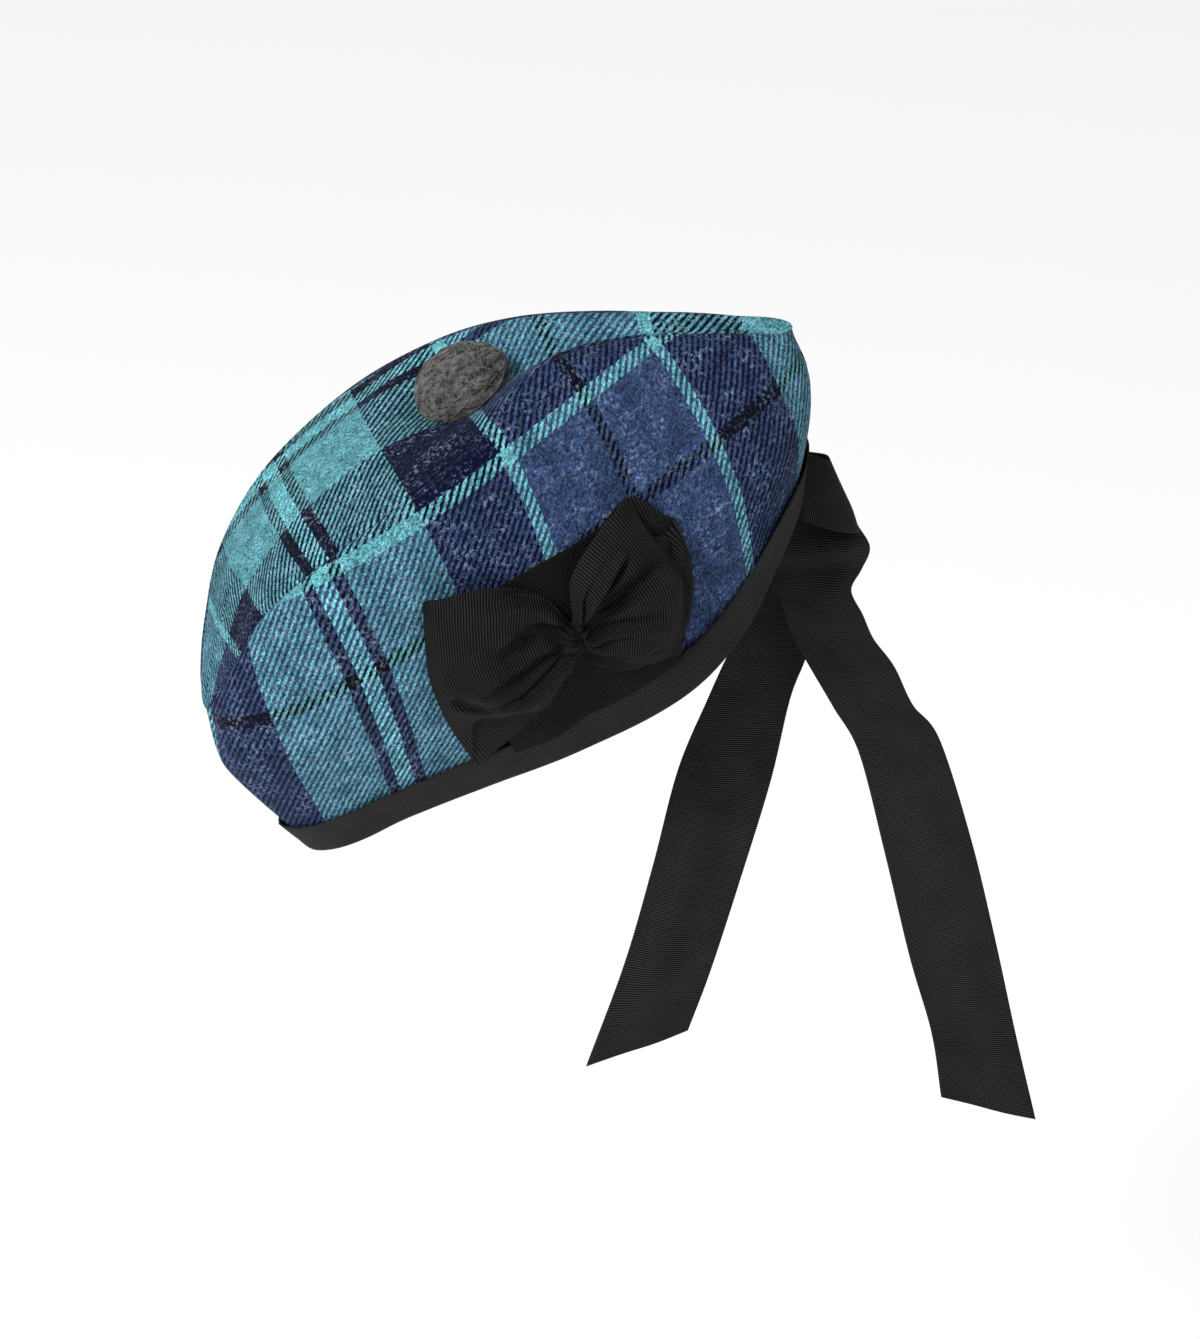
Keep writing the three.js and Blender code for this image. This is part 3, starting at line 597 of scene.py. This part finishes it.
def smooth_net(net, rows, columns):
    """A fine grid through the points of a coarse one, by Catmull-Rom interpolation both ways."""

    def along_first(values, count):
        padded = np.concatenate([2 * values[:1] - values[1:2], values, 2 * values[-1:] - values[-2:-1]])
        t = np.linspace(0, len(values) - 1, count)
        k = np.minimum(t.astype(int), len(values) - 2)
        t = (t - k).reshape(-1, *([1] * (values.ndim - 1)))
        a, b, c, d = (padded[k + j] for j in range(4))
        return b + 0.5 * t * (c - a + t * (2 * a - 5 * b + 4 * c - d + t * (3 * (b - c) + d - a)))

    fine = along_first(np.asarray(net, float), rows)
    return along_first(fine.swapaxes(0, 1), columns).swapaxes(0, 1)


def fold(along, across, line, height, soft, sharp, groove):
    """The rise of a fold in the ribbon along a line of points, in millimetres. It is soft on one
    side and falls off sharply into a groove on the other."""
    line = np.array(line, float)
    spot = np.stack([along, across], -1)
    nearest, side, share = np.full(along.shape, 1e9), 0 * along, 0 * along
    lengths = np.concatenate([[0], np.cumsum(np.linalg.norm(np.diff(line, axis=0), axis=1))])
    for i, (start, end) in enumerate(zip(line[:-1], line[1:])):
        step = end - start
        t = np.clip(((spot - start) @ step) / (step @ step), 0, 1)
        gap = spot - (start + t[..., None] * step)
        far = np.linalg.norm(gap, axis=-1)
        closer = far < nearest
        nearest = np.where(closer, far, nearest)
        side = np.where(closer, np.sign(step[0] * gap[..., 1] - step[1] * gap[..., 0]), side)
        share = np.where(closer, (lengths[i] + t * (lengths[i + 1] - lengths[i])) / lengths[-1], share)
    off = nearest * side
    fade = np.clip(share / 0.12, 0, 1) * np.clip((1 - share) / 0.4, 0, 1) ** 0.7
    rise = np.where(off > 0, np.exp(-((off / soft) ** 2)), np.exp(-((off / sharp) ** 2)))
    return fade * (height * rise - groove * np.exp(-(((off + 1.5 * sharp) / sharp) ** 2)))


WIDE_GROSGRAIN = grosgrain_material("woven wide black grosgrain", WIDE_RIB_MM, "29292b")
for loop_name, net, folds, other in (
    ("bow_front_loop", FRONT_LOOP, FRONT_FOLDS, -1), ("bow_back_loop", BACK_LOOP, BACK_FOLDS, 1),
):
    fine = smooth_net(net, LOOP_ROWS, LOOP_COLUMNS)
    along, across, out = fine[..., 0], fine[..., 1], fine[..., 2]
    reach = np.clip(np.abs(along) / 30, 0, 1)
    share = np.linspace(-1, 1, LOOP_COLUMNS)[None, :]
    # The front layer carries the pleats, swells and folds. The layer behind lies flat.
    front = np.clip(1 - (np.linspace(0, 1, LOOP_ROWS)[:, None] - 0.6) / 0.05, 0, 1)
    pleats = np.cos(share * 17 + other) * 1.1 + np.cos(share * 29 + 2 * other) * 0.5
    swell = 0.5 * ripple(along / 1000, across / 1000, 60 + other, 0.02) * reach * front
    out = out + pleats * (1 - reach) ** 1.3 * np.clip(reach * 7, 0, 1) * front + swell
    out = out + 0.55 * np.maximum(out - 4, 0) * front
    for line, height, soft, sharp, groove in folds:
        out = out + 1.5 * front * fold(along, across, line, height, soft, sharp, groove)
    out = np.maximum(out, 3.0 + 0.8 * front)
    points = bow_place(along, across, out)
    length = arc_length(points, 0).mean(1, keepdims=True) + 0 * along
    uvs = np.stack([length, arc_length(points, 1)], -1)
    loop = grid_mesh(loop_name, points, uvs, WIDE_GROSGRAIN, flip=other < 0)
    thicken(loop, RIBBON_THICKNESS, 0.0)
    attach(loop, "root")
    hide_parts("bow")


# The toorie: a ball of grey wool yarn, wound and felted, and sewn down in the crease. Loose ends
# of its yarn lie over each other. It is matt and uneven.
TOORIE_MIDDLE = np.array([0.027, 0.0, 0.139])
TOORIE_HALF = np.array([0.0198, 0.0198, 0.0143])
BALL_TURNS, BALL_RISES = 96, 49
STRANDS, STRAND_STEPS, STRAND_SIDES = 300, 15, 5
STRAND_WIDTH = 0.014
TOORIE_WOOL, tree, surface = new_material("felted grey wool")
place = node(tree, "ShaderNodeTexCoord")
felt = {"Scale": 330.0, "Detail": 6.0, "Roughness": 0.7}
blotch = node(tree, "ShaderNodeTexNoise", felt, Vector=place.outputs["Object"])
tone = node(tree, "ShaderNodeMapRange", {}, blotch.outputs["Fac"], 0.35, 0.66)
greys = {"data_type": "RGBA", "in6": colour("0d0d0d"), "in7": colour("6a6967")}
shade = node(tree, "ShaderNodeMix", greys, in0=tone)
tree.links.new(shade.outputs[2], surface.inputs["Base Color"])
surface.inputs["Roughness"].default_value = 0.95
surface.inputs["Specular IOR Level"].default_value = 0.1
surface.inputs["Sheen Weight"].default_value = 0.2
bump = node(tree, "ShaderNodeBump", {"Strength": 0.6, "Distance": 0.0008}, Height=blotch.outputs["Fac"])
tree.links.new(bump.outputs[0], surface.inputs["Normal"])
turn, rise = np.meshgrid(
    np.linspace(0, 2 * math.pi, BALL_TURNS + 1)[:-1], np.linspace(-math.pi / 2, math.pi / 2, BALL_RISES),
    indexing="ij",
)
ball = np.stack([np.cos(rise) * np.cos(turn), np.cos(rise) * np.sin(turn), np.sin(rise)], -1)
lumps = 1 + 0.02 * ripple(ball[..., 0], ball[..., 1] + ball[..., 2], 8, 0.9)
points = lean(TOORIE_MIDDLE + ball * TOORIE_HALF * 0.96 * lumps[..., None])
no_uv = np.zeros((BALL_TURNS + 1, BALL_RISES, 2))
core = grid_mesh("toorie_ball", points, no_uv, TOORIE_WOOL, ring=True)
weld(core)
strands, strand_faces = [], []
chance = np.random.default_rng(17)
for _ in range(STRANDS):
    axis = chance.normal(size=3) * np.array([1, 1, 1.6])
    axis /= np.linalg.norm(axis)
    first = np.cross(axis, chance.normal(size=3))
    first /= np.linalg.norm(first)
    second = np.cross(axis, first)
    tilt = chance.uniform(-0.75, 0.75)
    sweep = np.linspace(0, chance.uniform(0.7, 1.9), STRAND_STEPS)
    line = np.outer(np.cos(sweep), first) + np.outer(np.sin(sweep), second)
    line = line * math.cos(tilt) + axis * math.sin(tilt)
    line = line * (0.975 + 0.02 * np.sin(sweep * 5 + tilt * 9) + chance.uniform(-0.012, 0.012))[:, None]
    width = STRAND_WIDTH * np.sin(np.linspace(0.05, math.pi - 0.05, STRAND_STEPS)) ** 0.4
    ahead = np.gradient(line, axis=0)
    ahead /= np.linalg.norm(ahead, axis=1, keepdims=True)
    outward = line / np.linalg.norm(line, axis=1, keepdims=True)
    across = np.cross(ahead, outward)
    start = len(strands) * STRAND_STEPS * STRAND_SIDES
    ring = []
    for angle in np.arange(STRAND_SIDES) * 2 * math.pi / STRAND_SIDES:
        ring.append(line + width[:, None] * (across * math.cos(angle) + outward * math.sin(angle)))
    strands.append(np.stack(ring, 1).reshape(-1, 3))
    for i in range(STRAND_STEPS - 1):
        low, high = start + i * STRAND_SIDES, start + (i + 1) * STRAND_SIDES
        for j in range(STRAND_SIDES):
            k = (j + 1) % STRAND_SIDES
            strand_faces.append((low + j, low + k, high + k, high + j))
mesh = bpy.data.meshes.new("toorie_yarn")
points = lean(TOORIE_MIDDLE + np.concatenate(strands) * TOORIE_HALF)
mesh.from_pydata(points.tolist(), [], strand_faces)
mesh.polygons.foreach_set("use_smooth", [True] * len(mesh.polygons))
mesh.materials.append(TOORIE_WOOL)
yarn = bpy.data.objects.new("toorie_yarn", mesh)
bpy.context.scene.collection.objects.link(yarn)
for piece in (core, yarn):
    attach(piece, "root")
    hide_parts("toorie")


# The back loop: the end of the binding's ribbon, folded over once behind the back seam. Rows run
# along the ribbon and go round the fold, in millimetres of the part's frame.
RIBBON_ACROSS = 40
BACK_FOLD = [
    [(91, -3.5, 93), (92, -5, 84), (93, -6.5, 75), (94, -8, 65)],
    [(99, -5.5, 91), (101, -8, 81), (103, -10, 71), (105, -11.5, 61)],
    [(104.5, -5, 88.5), (109, -7, 77), (113, -8, 67), (115.5, -8.5, 57.5)],
    [(105.5, 0, 88), (110, 0, 76), (114, 0, 66), (117, 0, 56)],
    [(104, 5, 87), (108, 6, 76), (112, 6, 66), (115, 5, 57)],
    [(94, 4, 90), (96, 5, 80), (98, 5, 70), (100, 4, 62)],
]


def ribbon(name, node_name, net, rows):
    """A ribbon through the points of a net, with its ribs across it."""
    points = smooth_net(net, rows, RIBBON_ACROSS) / 1000
    length = arc_length(points, 0).mean(1, keepdims=True) + 0 * points[..., 0]
    uvs = np.stack([length, arc_length(points, 1)], -1)
    made = grid_mesh(name, points, uvs, GROSGRAIN)
    thicken(made, RIBBON_THICKNESS, 0.0)
    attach(made, "root")
    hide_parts(node_name)


ribbon("back_loop_ribbon", "back_loop", BACK_FOLD, 90)

# The tails: the same ribbon's two ends, hanging from under the back loop and cut at a slant. The
# right one turns out and back below the loop before it hangs.
RIGHT_TAIL = [
    [(114, 0, 66), (107, 0, 68), (99, 0, 70), (91, 0, 70)],
    [(118, -1, 57), (110, -0.5, 59), (100, -0.5, 61), (88, -1, 61)],
    [(121.5, -5, 49), (112, -8.5, 51), (100, -8, 51), (85, -6, 51)],
    [(118, -6, 40.5), (109, -5, 42.5), (97, -5, 43), (82, -4, 43)],
    [(113.5, -7, 32.5), (105, -9.5, 34), (94, -7.5, 36), (82, -7, 37)],
    [(118, -8, 22), (109, -10, 21), (98, -10.5, 24), (85.5, -8, 29)],
    [(122.5, -8, 11), (113, -10, 10), (101, -9, 12), (89, -9, 17)],
    [(131, -8, -2), (120, -11, -2), (108, -10, 0), (96, -9, 3)],
    [(139, -7, -20), (128, -10, -21), (117, -11, -19), (106, -9, -16)],
    [(150, -7, -36), (139, -9, -38), (128, -9, -38), (117, -8, -38)],
    [(163, -8, -80), (151, -9, -81), (139.5, -8, -82), (128, -9, -84)],
    [(173, -9, -124), (161, -10, -126), (149.5, -9, -127), (138, -10, -129)],
    [(182, -10, -168), (170, -11, -166), (158.5, -10, -164), (147, -11, -163)],
    [(190.5, -11, -207), (177.3, -12, -202), (164.2, -11, -197), (151, -12, -191.5)],
]
LEFT_TAIL = [
    [(117, 3, 58), (112, 3, 58), (107, 3, 58), (102, 3, 58)],
    [(113, 5, 44), (106, 6, 44), (98, 5, 44), (90, 5, 44)],
    [(107, 6, 28), (98, 7, 27), (89, 6, 27), (80, 5, 29)],
    [(99.5, 6, 1), (90, 5, 2), (79, 4, 5), (68.5, 4, 9)],
    [(92, 4, -17), (81.5, 3, -16), (70, 3, -14.5), (58.5, 4, -13)],
    [(83.5, 1, -50), (71, 2, -47), (58.5, 0, -44), (46, 2, -41)],
    [(70, -3, -90), (58, -2, -87), (46, -4, -83), (34.5, -3, -79)],
    [(57, -7, -126), (45, -6, -123), (34, -8, -121), (22, -7, -118)],
    [(47.5, -8, -150.5), (34, -9, -154), (20, -9, -157), (5.5, -10, -160)],
]
ribbon("tail_right_ribbon", "tail_right", RIGHT_TAIL, 201)
ribbon("tail_left_ribbon", "tail_left", LEFT_TAIL, 181)


# The studio: a plain pale floor well below the tails, soft light from all round, and a long lens
# that looks from the front of the wearer's left, a little from above.
FLOOR_HALF, FLOOR_Z = 9, -0.5
LAMPS = (
    # Name, place, width in metres, watts.
    ("key", (-2.7, -2.0, 2.3), 1.2, 165.0),
    ("fill", (3.2, -2.4, 1.4), 3.2, 16.0),
    ("top", (0.4, 0.8, 3.8), 2.4, 34.0),
)
CAMERA_AZIMUTH, CAMERA_ELEVATION = math.radians(-15), math.radians(25)
CAMERA_AWAY, CAMERA_LENS = 6.0, 413
AIM_RIGHT, AIM_UP = 0.0133, 0.008
corners = [(x * FLOOR_HALF, y * FLOOR_HALF, FLOOR_Z) for x, y in ((-1, -1), (1, -1), (1, 1), (-1, 1))]
mesh = bpy.data.meshes.new("floor")
mesh.from_pydata(corners, [], [(0, 1, 2, 3)])
made, tree, surface = new_material("pale matt floor")
surface.inputs["Base Color"].default_value = colour("fafafa")
surface.inputs["Roughness"].default_value = 0.9
mesh.materials.append(made)
floor = bpy.data.objects.new("floor", mesh)
bpy.context.scene.collection.objects.link(floor)
world = bpy.data.worlds.new("studio")
bpy.context.scene.world = world
world.use_nodes = True
sky = next(n for n in world.node_tree.nodes if n.type == "BACKGROUND")
sky.inputs["Color"].default_value = (1, 1, 1, 1)
sky.inputs["Strength"].default_value = 0.55
for lamp_name, place, width, power in LAMPS:
    lamp = bpy.data.lights.new(lamp_name, "AREA")
    lamp.size, lamp.energy = width, power
    thing = bpy.data.objects.new(lamp_name, lamp)
    thing.location = place
    thing.rotation_euler = (-Vector(place)).to_track_quat("-Z", "Y").to_euler()
    bpy.context.scene.collection.objects.link(thing)
bpy.context.scene.view_settings.view_transform = "Standard"
camera = bpy.data.cameras.new("camera")
camera.lens = CAMERA_LENS
camera.sensor_fit = "VERTICAL"
camera.sensor_height = 36
camera.clip_end = 20
eye = bpy.data.objects.new("camera", camera)
level = math.cos(CAMERA_ELEVATION)
back = Vector((
    math.sin(CAMERA_AZIMUTH) * level, -math.cos(CAMERA_AZIMUTH) * level, math.sin(CAMERA_ELEVATION)
))
right = Vector((math.cos(CAMERA_AZIMUTH), math.sin(CAMERA_AZIMUTH), 0))
target = right * AIM_RIGHT + back.cross(right) * AIM_UP
eye.location = target + back * CAMERA_AWAY
eye.rotation_mode = "QUATERNION"
eye.rotation_quaternion = back.to_track_quat("Z", "Y")
bpy.context.scene.collection.objects.link(eye)
bpy.context.scene.camera = eye
